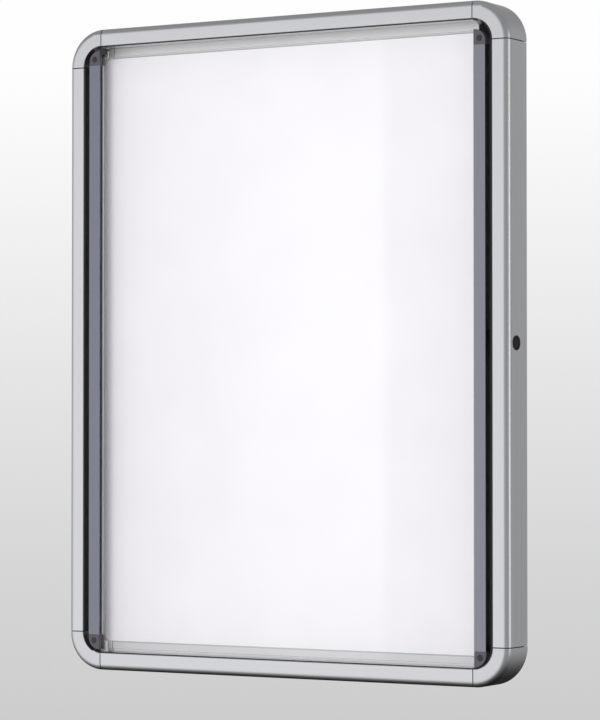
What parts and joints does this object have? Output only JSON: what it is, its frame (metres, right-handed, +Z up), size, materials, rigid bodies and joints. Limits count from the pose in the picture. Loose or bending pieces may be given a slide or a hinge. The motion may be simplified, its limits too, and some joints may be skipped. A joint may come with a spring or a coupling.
{
  "type": "lockable notice board",
  "caption": "Shallow wall-hung notice board with a rounded silver frame, a white magnetic back and a clear hinged door held by a cam lock in the side.",
  "frame": {"origin": "centre of the case's back plane, which lies on the wall", "axes": "+X to the right as seen from the front, +Y from the front into the wall, +Z up along the longer side"},
  "size_m": [0.5128, 0.04, 0.666],
  "materials": {
    "frame_aluminium": "satin silver anodised extrusion",
    "corner_moulding": "smooth moulding in the frame's silver grey",
    "white_sheet": "satin white enamelled steel",
    "core": "rigid foam board",
    "rear_steel": "pale grey coated sheet",
    "black_rubber": "soft black seal",
    "plated_steel": "zinc plated",
    "nylon": "black nylon",
    "pin_steel": "bright drawn steel",
    "lock_body": "black plated lock barrel",
    "lock_face": "dark plated plug",
    "clear_pane": "clear acrylic sheet",
    "stile_aluminium": "satin anodised extrusion, a darker grey",
    "cap_moulding": "dark grey moulding"
  },
  "bodies": {
    "case": {"frame_top": "frame_aluminium", "frame_bottom": "frame_aluminium", "frame_left": "frame_aluminium", "frame_right": "frame_aluminium", "corner_top_left": "corner_moulding", "corner_top_right": "corner_moulding", "corner_bottom_right": "corner_moulding", "corner_bottom_left": "corner_moulding", "magnetic_sheet": "white_sheet", "core_board": "core", "rear_sheet": "rear_steel", "opening_seal": "black_rubber", "corner_screws": "plated_steel", "fixing_sleeves": "nylon", "door_buffers": "black_rubber", "hinge_bushes": "nylon", "hinge_washer": "nylon", "lower_hinge_pin": "pin_steel", "lock_barrel": "lock_body", "lock_nut": "plated_steel"},
    "door": {"door_pane": "clear_pane", "hinge_stile": "stile_aluminium", "lock_stile": "stile_aluminium", "hinge_side_seals": "black_rubber", "lock_side_seals": "black_rubber", "cap_hinge_top": "cap_moulding", "cap_hinge_bottom": "cap_moulding", "cap_lock_top": "cap_moulding", "cap_lock_bottom": "cap_moulding", "cap_screws": "plated_steel", "upper_hinge_pin": "pin_steel", "lift_stop_clip": "nylon", "lock_keeper": "plated_steel", "keeper_screws": "plated_steel"},
    "lock": {"lock_plug": "lock_face", "lock_cam": "plated_steel", "cam_screw": "plated_steel"}
  },
  "joints": [
    {"name": "door_hinge", "type": "hinge", "parent": "case", "child": "door", "pos_m": [-0.224, -0.0375, 0], "axis": [0, 0, -1], "range_deg": [0, 110]},
    {"name": "lock_turn", "type": "hinge", "parent": "case", "child": "lock", "pos_m": [0.256, -0.0235, 0], "axis": [-1, 0, 0], "range_deg": [0, 180]}
  ]
}
